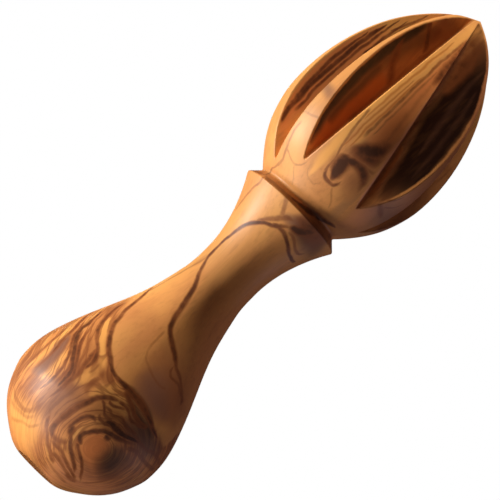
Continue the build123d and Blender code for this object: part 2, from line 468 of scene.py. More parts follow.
BULB_STROKES = (
    # Left of the bulb: lines that run down from the waist.
    Stroke(ALONG, 1.2, 0.7, (
        (-13.2, 43, 0.4), (-13.7, 38), (-13.2, 35.5), (-12.8, 33.5), (-12.2, 32.3), (-11, 30.9),
        (-10, 30.1), (-9, 29), (-8.3, 27.5), (-8.2, 26), (-8.3, 23.4, 0.4),
    )),
    Stroke(ALONG, 1.4, 0.62, (
        (-9.8, 30, 0.4), (-9.2, 26), (-9, 24.5), (-8.6, 22.5), (-8.6, 20.5), (-8.7, 17, 0.4),
    )),
    Stroke(ALONG, 1.4, 0.78, (
        (-15.4, 38, 0.4), (-15.6, 33), (-15.9, 31), (-15.3, 29), (-14.8, 27.5), (-13.9, 26),
        (-13, 24.8), (-12, 23.5), (-11, 22.3), (-10.3, 21), (-9.9, 19.5), (-9.9, 15.6, 0.3),
    )),
    Stroke(ALONG, 1.1, 0.68, (
        (-14.4, 31, 0.4), (-13.2, 27), (-12.2, 25.4), (-11.2, 24), (-10.3, 22.5), (-9.4, 21),
        (-8.8, 19.5), (-8.9, 17), (-9.4, 12.6, 0.3),
    )),
    Stroke(ALONG, 1.0, 0.66, (
        (-13.9, 25.6, 0.4), (-12.8, 22), (-12.2, 20), (-12, 18), (-12.1, 16), (-12.6, 12.4, 0.3),
    )),
    Stroke(ALONG, 0.9, 0.55, ((-11.2, 22, 0.4), (-10.9, 18.5), (-10.9, 13.6, 0.3))),
    Stroke(ALONG, 3.4, 0.9, (
        (-16.8, 28, 0.5), (-16.2, 22.5), (-15.8, 20), (-15.8, 17.5), (-16.5, 14.5, 0.8),
    ), SMOKE),
    Stroke(ALONG, 0.9, 0.5, ((-16.9, 27), (-16.7, 23), (-16.6, 19), (-17, 15.6))),
    Stroke(ALONG, 1.0, 0.68, (
        (-17.3, 38, 0.4), (-17.3, 32), (-17.2, 29), (-17.3, 27), (-17.1, 25), (-16.6, 21, 0.4),
    )),
    Stroke(ALONG, 1.0, 0.68, (
        (-16.6, 33, 0.4), (-15.9, 28.5), (-15.3, 27), (-14.4, 25.4), (-13.2, 22.8, 0.4),
    )),
    Stroke(ALONG, 1.2, 0.5, (
        (-18.1, 33, 0.4), (-18.7, 26), (-18.9, 22), (-18.9, 18), (-18.6, 13, 0.3),
    )),
    Stroke(AROUND, 1.2, 0.42, (
        (-17.6, 9.8), (-16, 8.2), (-14.2, 7.3), (-12.5, 7.1), (-11, 7.6), (-10, 8.6), (-9.3, 10.2),
    )),
    Stroke(AROUND, 0.9, 0.32, ((-16, 6.9), (-14, 6.2), (-12, 6.1), (-10, 6.5), (-8.8, 7.6))),
    Stroke(AROUND, 0.7, 0.3, ((-13, 3.8), (-10, 4.7), (-8, 5.4), (-6.6, 6.8))),
    # Pale wedges beside them.
    Stroke(ALONG, 2.0, 0.75, (
        (-12.6, 38, 0.6), (-12, 35), (-10.7, 32.4), (-9.2, 30.6), (-7.7, 29.2), (-6.6, 27.8),
        (-6.2, 26.2),
    ), PALE),
    Stroke(DOWN, 2.4, 0.6, ((-6.6, 28.4), (-6.4, 25), (-6.8, 22), (-7.4, 19, 0.5)), PALE, soft=0.9),
    Stroke(DOWN, 2.0, 0.6, ((0.8, 27), (-0.2, 25), (-1.6, 22.6), (-3, 19.6, 0.5)), PALE, soft=0.9),
    Stroke(ALONG, 1.8, 0.7, ((-14.6, 24), (-14, 21), (-13.7, 18), (-14.2, 14.5)), PALE, soft=0.9),
    Stroke(ALONG, 1.8, 0.6, ((-18, 30), (-18, 25), (-17.9, 20), (-18.2, 15)), PALE, soft=0.9),
    Stroke(DOWN, 0.6, 0.42, ((-6.7, 27), (-6.6, 25.3), (-6.9, 23.6))),
    Stroke(AROUND, 7.0, 0.8, (
        (-15, 5.4, 0.6), (-11, 4.4), (-7, 4.6), (-3.5, 3, 0.7),
    ), PALE, soft=1.0),
    # Middle: a brown patch, and the dark arc that runs down beside the swirl.
    Stroke(DOWN, 3.6, 0.42, ((-3.2, 28.6), (-3.2, 26), (-3.6, 23.6, 0.7)), soft=0.5),
    Stroke(DOWN, 1.4, 0.55, ((-3.9, 25), (-4.7, 22.8), (-4.6, 21), (-4, 19.2))),
    Stroke(DOWN, 0.9, 0.45, ((-1.4, 27.2), (-1.7, 25), (-1.7, 23.4))),
    Stroke(DOWN, 1.5, 0.72, (
        (3.4, 24.5, 0.6), (1, 22.9), (-0.5, 21.5), (-1.5, 20), (-2.1, 18), (-2.8, 16), (-3.4, 14),
        (-3.7, 12), (-3.9, 10), (-3.6, 8.4), (-2.8, 7.1), (-1.6, 6.3, 0.7),
    )),
    Stroke(DOWN, 6.5, 0.6, (
        (-6, 21, 0.7), (-6.3, 16), (-6.4, 12), (-6.8, 8, 0.5),
    ), SMOKE, soft=1.0),
    Stroke(ACROSS, 0.9, 0.62, (
        (-6.6, 9.8), (-5.2, 8), (-4.2, 7), (-3.3, 6.1), (-2, 5.2), (-0.5, 4.4), (1, 3.5),
        (2.8, 2.9),
    )),
    # Right: bands under the smooth arc.
    Stroke(ACROSS, 5.5, 0.7, (
        (5.5, 24.2, 0.5), (8, 23.4), (11, 22.6), (14, 22.2), (19.5, 21.6, 0.6),
    ), SMOKE, soft=0.8),
    Stroke(ACROSS, 1.3, 0.72, (
        (2.2, 26.8), (4, 26.2), (5.5, 25.6), (7, 25), (8.5, 24.3), (10, 24), (12.5, 24.5),
    )),
    Stroke(ACROSS, 1.1, 0.72, (
        (2.8, 24), (4.6, 24.1), (6.5, 23.8), (7.5, 23.2), (8.5, 22.9), (9.8, 23.3), (11.5, 23.6),
    )),
    Stroke(ACROSS, 0.8, 0.6, ((0.8, 22.8), (2, 22), (3.2, 22.2), (4.4, 22.9), (5.8, 23.8))),
    Stroke(ACROSS, 0.8, 0.6, (
        (-0.4, 21.3), (0.9, 20.8), (1.9, 20.1), (2.7, 19.3), (3.7, 19), (5.2, 19.4),
    )),
    Stroke(ACROSS, 0.8, 0.5, (
        (1, 20.4), (3, 20.8), (4.2, 20.4), (5.2, 20.9), (6.4, 21.5), (7.5, 21), (8.7, 20.6),
        (10, 21), (12, 21.4),
    )),
    Stroke(ACROSS, 1.5, 0.9, (
        (4, 18, 0.5), (5.4, 18.6, 0.7), (7, 18.7), (8.4, 18.7), (10, 19.2), (11.6, 19.9, 0.7),
        (14.2, 20.6, 0.2),
    )),
    Stroke(ACROSS, 0.9, 0.65, ((1.8, 18.1), (3.2, 17.6), (4.4, 17.6), (5.6, 18.2), (6.8, 18.7))),
    Stroke(SWIRL, 1.3, 0.78, (
        (13.4, 19.4, 0.6), (11.4, 18.3), (9.5, 17.5), (8.2, 17.2), (6.8, 16.9), (5.6, 16.3),
        (4.6, 15.2), (3.4, 14), (2.5, 12.8), (2.3, 11.6), (2.9, 10.8), (4, 10.1, 0.5),
    )),
    Stroke(SWIRL, 1.1, 0.75, (
        (2.6, 16.8), (1.2, 16.5), (0.3, 16), (-0.4, 14.8), (-1, 13.2), (-1, 11.6), (-0.4, 10.5),
        (0.6, 9.7), (1.6, 8.9), (2.8, 7.9), (4, 7.1), (5.2, 6.4), (6.4, 5.8), (7.8, 5),
    )),
    Stroke(DOWN, 1.8, 0.9, ((-0.6, 12.4, 0.6), (-0.1, 10.8), (0.3, 9.2, 0.7)), soft=0.9),
    Stroke(ACROSS, 1.6, 0.75, ((6.4, 15.9), (7.3, 15.8), (8.3, 16.1)), soft=1.0),
    Stroke(SWIRL, 0.9, 0.7, (
        (3, 10), (4.4, 8.9), (5.6, 8.2), (7, 7.5), (8, 6.7), (8.8, 6), (10.2, 5),
    )),
    Stroke(ACROSS, 1.5, 0.6, ((-3.2, 7.4), (-1.2, 7), (0.2, 7.5), (1.6, 8.4)), soft=0.9),
    Stroke(ACROSS, 0.9, 0.6, (
        (-2, 6.3), (0, 6.1), (1.5, 6.1), (3, 5.6), (4.5, 5), (6, 4.6), (9, 4.1),
    )),
    Stroke(ACROSS, 0.9, 0.55, ((0.4, 4.6), (2.2, 4.4), (4, 3.9), (5.5, 3.6), (7, 3.4), (9.6, 3.8))),
    Stroke(ACROSS, 0.6, 0.35, ((0, 2.6), (2.5, 2.1), (5, 1.9), (8, 2))),
    Stroke(DOWN, 6.5, 0.85, (
        (6.2, 16.5, 0.6), (6.6, 13.5), (7, 10.5), (7.6, 7.6, 0.6),
    ), AMBER, soft=0.8),
    Stroke(DOWN, 5.4, 0.8, (
        (13, 17, 0.5), (12.2, 14.5), (11.9, 12.2), (11.9, 10.4), (12.2, 7.6, 0.5),
    ), HEART, soft=0.8),
    Stroke(ACROSS, 2.4, 0.4, ((8.8, 15.2), (10.5, 15.8), (13, 16.6)), RUSSET, soft=1.0),
    Stroke(AROUND, 1.2, 0.55, ((12, 17.6), (15.5, 18.6), (18, 18.6), (20.8, 19.4))),
    Stroke(AROUND, 1.1, 0.5, ((11.5, 20.8), (15.5, 20.6), (18.2, 21.8), (20.9, 21.4))),
    Stroke(ALONG, 0.9, 0.35, ((17, 16), (16.6, 13), (15.4, 10), (13.4, 7), (10.6, 4.4))),
)

# The head, on whatever surface a stroke crosses.
HEAD_STROKES = (
    # Base of the head: a fine arc ends in a knot, with a smoky cloud beside it.
    Stroke(ACROSS, 0.9, 0.7, (
        (-1.2, 99.8), (-0.5, 98.4), (0.6, 97.9), (1.8, 97.9), (2.8, 98.3), (3.6, 99.5),
    )),
    Stroke(DOWN, 4.2, 1.0, (
        (0.9, 106, 0.1), (0.5, 104.8, 0.6), (0.5, 103.4, 0.95), (0.7, 101.8, 0.9), (1, 100.4, 0.7),
        (1.3, 99.2, 0.35), (1.4, 98, 0.1),
    )),
    Stroke(DOWN, 0.8, 0.6, ((1.3, 100.2), (1.5, 99.3), (1.4, 98.8)), RUSSET),
    Stroke(ACROSS, 4.8, 1.0, (
        (-0.8, 107.2, 0.3), (1, 108.2, 0.7), (2.8, 109.2, 0.9), (4.4, 110.3), (5.8, 111.2),
        (7.2, 112.4, 0.6),
    ), soft=1.0),
    Stroke(ACROSS, 2.6, 0.85, (
        (0.5, 107.2, 0.6), (3, 107.6), (5.5, 108.4), (7.6, 109.2),
    ), soft=1.0),
    Stroke(ACROSS, 2.3, 0.85, (
        (0, 103.4), (1.5, 104.6), (3, 105.2), (4.6, 105.3), (6, 104.9), (7.2, 104), (8.6, 102.6),
    ), soft=0.9),
    Stroke(ACROSS, 1.2, 0.45, ((2.6, 106.4), (5, 106), (8, 106.7)), soft=1.0),
    Stroke(ACROSS, 3.6, 0.4, ((6.8, 95), (8.6, 96.2), (9.4, 98.6)), SMOKE, soft=1.0),
    Stroke(ACROSS, 7.0, 0.5, ((8.4, 95, 0.5), (12, 97), (17, 99)), RUSSET, soft=1.0),
    Stroke(AROUND, 1.7, 0.95, (
        (-2.4, 89.2, 0.3), (0.6, 89.7, 0.6), (3, 90.2), (5.5, 90.8), (7.5, 91.4, 0.8),
        (11, 92.4, 0.2),
    ), soft=0.9),
    Stroke(AROUND, 2.6, 0.6, ((0.6, 90, 0.4), (4, 90.2), (8, 90.4), (11.8, 90.2)), soft=1.0),
    # Fine cracks round it.
    Stroke(AROUND, 0.5, 0.36, (
        (-13.4, 99.4), (-12.3, 97.7), (-10.5, 96.6), (-8.8, 95.7), (-7.6, 95.5), (-6.6, 96),
        (-5.9, 97.2), (-5.9, 98.6),
    )),
    Stroke(AROUND, 0.45, 0.26, ((-4.9, 98), (-4, 96), (-2.6, 95.2), (-1, 95.1), (0.2, 96.4))),
    Stroke(AROUND, 0.45, 0.3, ((-8, 95.6), (-6.2, 93.9), (-4.4, 91.9))),
    Stroke(AROUND, 0.45, 0.32, ((2.6, 97.6), (4.4, 96.2), (6.2, 94))),
    # The point: paler to the left of its ridge, redder down its right edge.
    Stroke(DOWN, 2.0, 0.6, ((0.3, 153.5), (-0.4, 147), (-1.2, 140)), PALE),
    Stroke(DOWN, 3.6, 0.8, (
        (3.6, 152.4, 0.4), (7.5, 148.5), (11, 144.4), (14.6, 138.5), (17.2, 132, 0.5),
    ), RUSSET),
    # Right of the broad flute, painted shade darkening the wood towards the outline; last, a
    # pinkish painted highlight along the flute's ridge.
    # Painted shade: reddish brown deepening towards the head's right outline.
    Stroke(DOWN, 6.0, 0.65, (
        (12, 146, 0.4), (17.6, 134, 0.7), (20.4, 122), (20.8, 110), (18, 98, 0.5),
    ), RUSSET),
    # Painted shade: a darker band along the right outline.
    Stroke(DOWN, 3.0, 0.45, ((18, 136, 0.5), (21, 122), (21.2, 110), (18.4, 99, 0.5)), soft=0.8),
    # Painted highlight: a pinkish line along the ridge of the broad flute.
    Stroke(DOWN, 1.1, 0.5, (
        (1.4, 149, 0.5), (2.6, 143), (3.9, 136), (5, 129), (6.1, 121), (7.3, 114.5), (8.6, 108),
        (9.8, 102.5), (10.6, 99, 0.5),
    ), SALMON, soft=0.9),
)

# The lands of the head: its turned skin between the flutes.
LAND_STROKES = shown((
    # Round the knot: the upper end of its arc, and reddish, smoky and pinkish wood, with painted
    # shade on the reddish wood to its right.
    Stroke(DOWN, 0.7, 0.55, (
        (-3.9, 117), (-3.7, 113), (-3.3, 110), (-2.7, 107), (-2.2, 105), (-1.7, 103.6),
        (-1.3, 102.2), (-1.3, 100.3), (-0.9, 98.6),
    )),
    Stroke(ACROSS, 7.0, 0.8, ((-1.6, 106.6, 0.6), (3, 108.8), (7.6, 110.6)), RUSSET, soft=1.0),
    # Reddish wood right of the knot, deepened with painted shade.
    Stroke(ACROSS, 7.0, 0.5, ((3, 101.6, 0.4), (6, 102), (9.6, 101.4)), RUSSET, soft=1.0),
    Stroke(ACROSS, 5.0, 0.3, ((10.2, 96.4), (12.5, 98.2), (15.6, 100.2)), SALMON),
    Stroke(AROUND, 8.0, 0.75, ((12, 103, 0.6), (16, 102.4), (20, 101)), SMOKE, soft=1.0),
    Stroke(AROUND, 2.2, 0.9, ((13.6, 103.4), (15.4, 102.4), (17.2, 101.4)), SMOKE, soft=1.0),
    Stroke(AROUND, 1.6, 0.5, ((13.8, 103.2, 0.5), (15.4, 102.3), (17, 101.4, 0.5)), soft=1.0),
    # Fine cracks and smoky marks, right and left of the flutes.
    Stroke(AROUND, 0.5, 0.42, ((14.2, 104.6), (16, 106.4), (17.2, 109))),
    Stroke(AROUND, 0.5, 0.42, ((15.4, 103.4), (17.2, 105.4), (18.4, 108.2))),
    Stroke(AROUND, 2.8, 0.7, ((-16.6, 114.2), (-14.6, 113.9), (-12.4, 113.2)), SMOKE, soft=0.9),
    Stroke(AROUND, 0.8, 0.35, ((-15.6, 106), (-13.2, 106.5), (-11, 107.2))),
    # The middle land: a bright strip, fine stripes, a band of painted light down its middle, and
    # warmer wood to the right.
    Stroke(DOWN, 2.3, 0.95, (
        (-1.4, 141, 0.7), (-1.8, 136, 0.8), (-2, 132, 0.8), (-2.6, 128), (-3.2, 124), (-3.8, 118),
        (-4.3, 114), (-4.4, 110), (-4.1, 106), (-3.7, 102), (-3.4, 98.6, 0.7), (-3, 95.4, 0.2),
    ), PALE),
    Stroke(ALONG, 5.0, 0.55, (
        (-14, 107, 0.6), (-11.6, 101), (-8.4, 96), (-6.4, 92.4, 0.6),
    ), PALE, soft=1.0),
    Stroke(DOWN, 0.6, 0.7, (
        (-3.2, 114, 0.4), (-2.8, 122), (-1.9, 134), (-1, 145, 0.4),
    ), EMBER, soft=1.0),
    Stroke(DOWN, 0.5, 0.75, (
        (-2.2, 106, 0.4), (-2.2, 112), (-2, 118), (-1.2, 130, 0.4),
    ), EMBER, soft=1.0),
    Stroke(DOWN, 0.6, 0.75, (
        (-0.9, 107, 0.4), (-1.1, 113), (-0.8, 120), (-0.4, 132, 0.4),
    ), EMBER, soft=1.0),
    # Painted light: paler wood down the middle of the land.
    Stroke(DOWN, 2.6, 0.7, (
        (-0.7, 108, 0.5), (-0.8, 116), (-0.7, 126), (-0.3, 138, 0.7),
    ), PALE, soft=0.8),
    Stroke(DOWN, 0.8, 0.55, (
        (-0.3, 111), (-0.1, 120), (0.1, 128), (0.1, 134), (0.3, 140), (0.9, 147),
    )),
    Stroke(DOWN, 6.0, 0.85, (
        (1.6, 150, 0.2), (1.9, 142, 0.4), (2, 134, 0.6), (2.4, 126, 0.8), (3, 118), (3.4, 110),
    ), AMBER, soft=0.8),
    Stroke(DOWN, 2.4, 0.7, ((1.4, 149.5, 0.5), (2, 143), (2.3, 138), (2.7, 132, 0.5)), soft=0.9),
    Stroke(DOWN, 1.2, 0.28, ((2.4, 134, 0.5), (3, 127), (3.8, 120), (4.8, 113, 0.6)), soft=1.0),
    Stroke(DOWN, 0.7, 0.4, ((0.9, 113, 0.5), (1.1, 120), (1.2, 128), (1.2, 136, 0.5)), soft=1.0),
    Stroke(DOWN, 4.6, 0.4, (
        (3, 124, 0.3), (3.4, 119), (4.2, 113), (5.4, 107, 0.6),
    ), EMBER, soft=1.0),
), Zone.TURNED)

# The walls of the flutes.
FLUTE_STROKES = shown((
    # Darker wood beside the point.
    Stroke(DOWN, 5.0, 0.7, ((2.4, 152.4, 0.5), (4, 147), (5, 141, 0.8), (6, 134, 0.5)), soft=0.9),
    Stroke(DOWN, 6.0, 0.4, ((-2.2, 152.4, 0.5), (-4.2, 147), (-6.4, 140, 0.6)), soft=0.9),
    # The outer left flute: reddish wood with brown stripes, made paler at its top with painted
    # light.
    # Painted light: paler wood at the top of the flute.
    Stroke(DOWN, 7.0, 0.95, (
        (-8.6, 150, 0.3), (-12.6, 142), (-15.4, 135, 0.8), (-17.6, 127, 0.3),
    ), PALE),
    Stroke(DOWN, 8.0, 0.7, (
        (-15, 138, 0.4), (-17.4, 129), (-19.2, 119), (-19.4, 108), (-17.4, 98),
    ), AMBER),
    Stroke(DOWN, 5.0, 0.6, (
        (-16, 133, 0.4), (-17.4, 127, 0.8), (-18, 120), (-17.4, 105, 0.7),
    ), RUSSET, soft=0.6),
    Stroke(DOWN, 1.2, 0.82, (
        (-15.6, 138, 0.3), (-17, 131), (-17.9, 122), (-18.4, 114), (-18.2, 108), (-17.4, 101),
    )),
    Stroke(DOWN, 1.0, 0.75, ((-17.6, 133, 0.3), (-19.2, 120), (-19.1, 113), (-18.4, 106))),
    Stroke(DOWN, 0.8, 0.7, (
        (-14.2, 141, 0.3), (-15.8, 131), (-16.7, 122), (-17, 114), (-16.6, 106),
    )),
    Stroke(DOWN, 0.8, 0.7, ((-12.6, 142, 0.3), (-13.8, 135), (-14.6, 128))),
    Stroke(DOWN, 0.7, 0.65, ((-10, 147, 0.4), (-11.4, 143), (-14, 137, 0.5))),
    # The flute left of the middle: dark, with a strip of painted bounce light beside its far wall.
    Stroke(DOWN, 9.0, 0.6, (
        (-4.6, 152, 0.6), (-6.5, 143), (-8.2, 133), (-9.2, 120), (-8.6, 104, 0.6),
    ), RUSSET, soft=0.3),
    Stroke(DOWN, 4.0, 1.0, (
        (-8.6, 145, 0.4), (-10.4, 138), (-11.4, 132), (-12, 126), (-12.2, 120), (-12, 114),
        (-11.2, 109, 0.8), (-9.8, 104, 0.6), (-8.4, 101, 0.3),
    ), HEART),
    Stroke(DOWN, 4.0, 0.6, (
        (-5.4, 146, 0.5), (-8, 138), (-9.6, 132), (-10.2, 126, 0.6),
    ), HEART, soft=0.8),
    Stroke(DOWN, 2.0, 0.75, ((-9.6, 129), (-9.6, 122), (-9.7, 115), (-9, 108)), HEART, soft=1.0),
    # Painted bounce light: a deep orange strip inside the flute, where light thrown off its other
    # wall falls.
    Stroke(DOWN, 3.6, 0.85, (
        (-6.9, 127.6), (-7.1, 122), (-7.4, 114), (-7.6, 107), (-7.3, 101, 0.6),
    ), EMBER, soft=0.5),
    # Painted shade: a dark line along the root of the flute, by its right edge.
    Stroke(DOWN, 1.2, 0.4, (
        (-2.2, 150), (-3, 143), (-3.9, 136), (-4.5, 129), (-5.1, 121), (-5.8, 112),
    )),
    Stroke(ACROSS, 1.3, 0.75, ((-9.2, 145.4), (-7.2, 143), (-5.8, 141), (-4.2, 138.8))),
    Stroke(ACROSS, 2.0, 0.7, ((-10.6, 135.4), (-8.3, 131.4), (-6.8, 129), (-4.6, 126.6)), soft=0.9),
    # The flute right of the middle: dark heartwood with lighter streaks.
    Stroke(DOWN, 10.4, 1.0, (
        (4.2, 152.5, 0.15), (6.4, 148.5, 0.45), (8.2, 144, 0.7), (9.6, 140, 0.86),
        (10.8, 134, 0.94), (11.8, 128, 1), (13, 121, 0.86), (14.2, 113, 0.7), (14.4, 107, 0.52),
        (14, 102.6, 0.2),
    ), HEART, soft=0.25),
    Stroke(DOWN, 8.0, 0.65, (
        (4, 149, 0.5), (5.4, 138, 0.7), (7.4, 124, 0.8), (10.4, 112), (12, 102, 0.8),
    ), RUSSET, soft=0.5),
    Stroke(DOWN, 1.0, 0.5, ((8, 118), (9.2, 113), (10.2, 108), (11, 103)), EMBER, soft=0.9),
    Stroke(DOWN, 1.4, 0.05, (
        (9, 146, 0.3), (9.6, 137), (10.7, 129), (12.4, 119, 0.3),
    ), SALMON, soft=1.0),
    Stroke(DOWN, 1.1, 0.04, (
        (11.6, 141, 0.3), (13, 133), (14.4, 124), (15.2, 113, 0.3),
    ), SALMON, soft=1.0),
), Zone.CARVED)

# The sides that the photograph doesn't show, as seen from behind.
REAR_STROKES = shown((
    # A vein from the collar over the waist to the bulb's shoulder, and its branch.
    Stroke(ALONG, 1.1, 0.78, (
        (4.4, 88, 0.4), (2.4, 85.6), (0.2, 82), (-1.4, 77), (-1.8, 71), (-1, 64), (0.8, 57, 1.2),
        (4, 50, 1.3), (8, 44, 1.3), (11.6, 39, 1.2), (14, 33), (15.2, 26, 0.6), (15.4, 20, 0.3),
    )),
    Stroke(ALONG, 0.8, 0.55, (
        (-1.9, 72, 0.4), (-2.6, 66), (-4, 59), (-5.6, 52), (-7.6, 46), (-10.6, 40),
        (-13.6, 34, 0.4),
    )),
    Stroke(ALONG, 1.8, 0.35, (
        (0.4, 58, 0.4), (2.6, 50), (5.4, 43), (9, 37, 0.5),
    ), RUSSET, soft=1.0),
    # Bands round the bulb, the far side of those round the knot.
    Stroke(AROUND, 1.4, 0.75, (
        (-19, 14, 0.3), (-16, 19), (-12, 22.4), (-7, 23.4), (-2, 21.8), (2.4, 18), (5, 13, 0.3),
    )),
    Stroke(AROUND, 1.2, 0.7, (
        (-17, 24, 0.3), (-13, 28.4), (-8, 30.6), (-2, 30), (4, 26.6), (8.6, 21), (11, 14, 0.4),
    )),
    Stroke(AROUND, 2.6, 0.6, (
        (-11, 25.4, 0.4), (-6, 27), (0, 25.6), (5, 21.4), (8, 15, 0.4),
    ), SMOKE, soft=0.9),
    Stroke(AROUND, 1.0, 0.6, ((-2, 35.4, 0.3), (4, 33), (9, 28.4), (13, 22), (15.4, 14, 0.4))),
    Stroke(AROUND, 1.6, 0.7, (
        (-13, 14.6, 0.3), (-10, 17), (-7, 17.8), (-4, 16.6), (-1.4, 13.4, 0.3),
    )),
    Stroke(AROUND, 1.0, 0.5, ((-15, 7, 0.4), (-9, 4.6), (-2, 4.4), (6, 6.6, 0.4))),
), behind=True)

REAR_LAND_STROKES = shown((
    # The head: a fine vein, a smoky patch and a paler strip on its lands.
    Stroke(ALONG, 0.7, 0.5, (
        (3.6, 90), (3.4, 95), (5, 101), (6.8, 108), (7.2, 117), (5.8, 128, 0.4),
    )),
    Stroke(AROUND, 5.0, 0.6, ((-10, 99, 0.4), (-5, 101.4), (0, 101, 0.4)), SMOKE, soft=1.0),
    Stroke(ALONG, 3.4, 0.8, (
        (-0.6, 146, 0.4), (-1.4, 132), (-2.4, 116), (-3, 104), (-2.4, 94, 0.4),
    ), PALE),
), Zone.TURNED, behind=True)

ALL_STROKES = (
    NECK_STROKES + BULB_STROKES + HEAD_STROKES + LAND_STROKES + FLUTE_STROKES + REAR_STROKES
    + REAR_LAND_STROKES
)


@dataclass(frozen=True)
class OliveTones:
    """Colours of oiled olive wood."""

    honey: Colour = tone(236, 168, 92)
    tan: Colour = tone(226, 151, 86)
    figured: Colour = tone(218, 140, 76)
    brown: Colour = tone(142, 78, 40)
    dark: Colour = tone(72, 38, 20)

    @property
    def strokes(self) -> Mapping[Tone, Colour]:
        """Colours of the strokes other than veins, in the order they are laid."""
        return {
            RUSSET: tone(168, 100, 62),
            PALE: tone(255, 181, 94),
            AMBER: tone(244, 144, 78),
            SMOKE: tone(136, 92, 72),
            EMBER: tone(196, 104, 42),
            HEART: tone(42, 20, 10),
            SALMON: tone(238, 158, 116),
        }


class OliveFigure:
    """The figure of the wood, as nodes that work in the part's own space, in millimetres."""

    WOBBLES = ((0.22, 0.4), (0.8, 0.13))  # scale of the noise, and how far it moves a place
    FRONT: Span = (3.0, -3.0)  # where the strokes of the front fade in, along Y
    WALL: Span = (0.4, 1.0)  # how deep under the turned skin the wall of a flute is
    FLUTES: Span = (96.0, 99.0)  # where the flutes begin
    UNEVEN = (0.4, 0.6)  # scale and roughness of the noise that varies the veins
    UNEVEN_SHARES = (0.9, 0.55)  # how much a vein's strength varies, and its least
    VEIN_AND_SHADE_GAIN = 1.12
    SKIN_PICK = 4  # every how many heights of the outline the turned skin is drawn through
    QUARTER_TURN = 0.25  # added to a bearing, so that it wraps on the left side and not behind
    TAPER = (1.2, 0.05, 0.49)  # a stroke's end in widths, and its least and most share of it
    KNOT = (7.0, 17.5)  # right of the axis, and in front of it
    DRAWN_OUT: Span = (-15.0, 1.5)  # left of here the shells are drawn out upwards
    DRAWN_FROM = 5.0  # above the knot
    DRAWN_SHARE = 0.4

    def __init__(self, board: NodeBoard, skin: TurnedSkin) -> None:
        """Lay out the coordinates that every part of the figure is read from.

        Args:
            board: Where the nodes go.
            skin: The outline of the turned blank.
        """
        self.board = board
        self.skin = skin
        self.place = board.node("ShaderNodeTexCoord", output="Object") * MILLIMETRES
        self.bent = self.place
        for scale, reach in self.WOBBLES:
            self.bent = self.bent + self.wobble(scale, reach)
        parts = board.node("ShaderNodeSeparateXYZ", None, {0: self.bent})
        self.x, self.y, self.z = parts, parts.pick("Y"), parts.pick("Z")
        self.radius = board.math("SQRT", self.x * self.x + self.y * self.y)
        self.bearing = board.math("ARCTAN2", self.x, self.y * -1.0) * math.degrees(1.0)
        self.front = board.step(self.y, *self.FRONT)
        across = self.x / ACROSS_SPAN + MIDDLE
        height = self.z / HEIGHT_SPAN
        around = board.math("WRAP", self.bearing / FULL_TURN + self.QUARTER_TURN, 1.0, 0.0)
        right, up = self.x - SWIRL_EYE[0], self.z - SWIRL_EYE[1]
        swirl = board.math("WRAP", board.math("ARCTAN2", up, right) / math.tau, 1.0, 0.0)
        reach = board.math("SQRT", right * right + up * up) / ACROSS_SPAN
        self.ways = {
            ALONG: (board.grey(height), around),
            AROUND: (board.grey(around), height),
            SWIRL: (board.grey(swirl), reach),
            DOWN: (board.grey(height), across),
            ACROSS: (board.grey(across), height),
        }
        self.depth = self._skin_radius(board.grey(height)) - self.radius
        self.carved = board.step(self.depth, *self.WALL) * board.step(self.z, *self.FLUTES)
        scale, rough = self.UNEVEN
        varies, least = self.UNEVEN_SHARES
        self.uneven = board.noise(self.place, scale, rough=rough) * varies + least

    def wobble(self, scale: float, reach: float) -> Wire:
        """Noise that moves a place.

        Args:
            scale: How fast it changes from place to place.
            reach: About how far it moves a place, in millimetres each way.

        Returns:
            The shift along each axis.
        """
        inputs = {"Vector": self.place, "Scale": scale, "Detail": 1.0}
        shift = self.board.node("ShaderNodeTexNoise", None, inputs, "Color")
        return (shift - MIDDLE) * (reach * 2.0)

    def _skin_radius(self, height: Wire) -> Wire:
        """Radius of the turned skin.

        Args:
            height: Height as a share of the height span, on all channels.

        Returns:
            The radius in millimetres.
        """
        widest = max(self.skin.radii)
        picked = list(zip(self.skin.heights, self.skin.radii))[::self.SKIN_PICK]
        points = [(up / HEIGHT_SPAN, radius / widest) for up, radius in picked]
        points.append((self.skin.heights[-1] / HEIGHT_SPAN, 0.0))
        read = self.board.node("ShaderNodeRGBCurve", {"curves": (points,)}, {"Color": height})
        return self.board.node("ShaderNodeSeparateColor", None, {0: read}) * widest

    def _row(
        self, stroke: Stroke, across: float, height: float, share: float = 1.0
    ) -> tuple[float, ...]:
        """One place of a stroke.

        Args:
            stroke: The stroke.
            across: Millimetres to the right of the axis.
            height: Millimetres above the base.
            share: The width there, as a share of the stroke's width.

        Returns:
            The way along, the way off, half the width, and how many millimetres one unit of the
            first and of the second is.
        """
        half = stroke.width / 2.0 * share
        bearing = self.skin.bearing(across, height, stroke.behind) / FULL_TURN + self.QUARTER_TURN
        girth = math.tau * self.skin.radius(height)
        right, up = across - SWIRL_EYE[0], height - SWIRL_EYE[1]
        swirl, reach = math.atan2(up, right) / math.tau % 1.0, math.hypot(right, up)
        side, rise = across / ACROSS_SPAN + MIDDLE, height / HEIGHT_SPAN
        return {
            ALONG: (rise, bearing, half, HEIGHT_SPAN, girth),
            AROUND: (bearing, rise, half, girth, HEIGHT_SPAN),
            SWIRL: (swirl, reach / ACROSS_SPAN, half, math.tau * reach, ACROSS_SPAN),
            DOWN: (rise, side, half, HEIGHT_SPAN, ACROSS_SPAN),
            ACROSS: (side, rise, half, ACROSS_SPAN, HEIGHT_SPAN),
        }[stroke.run]

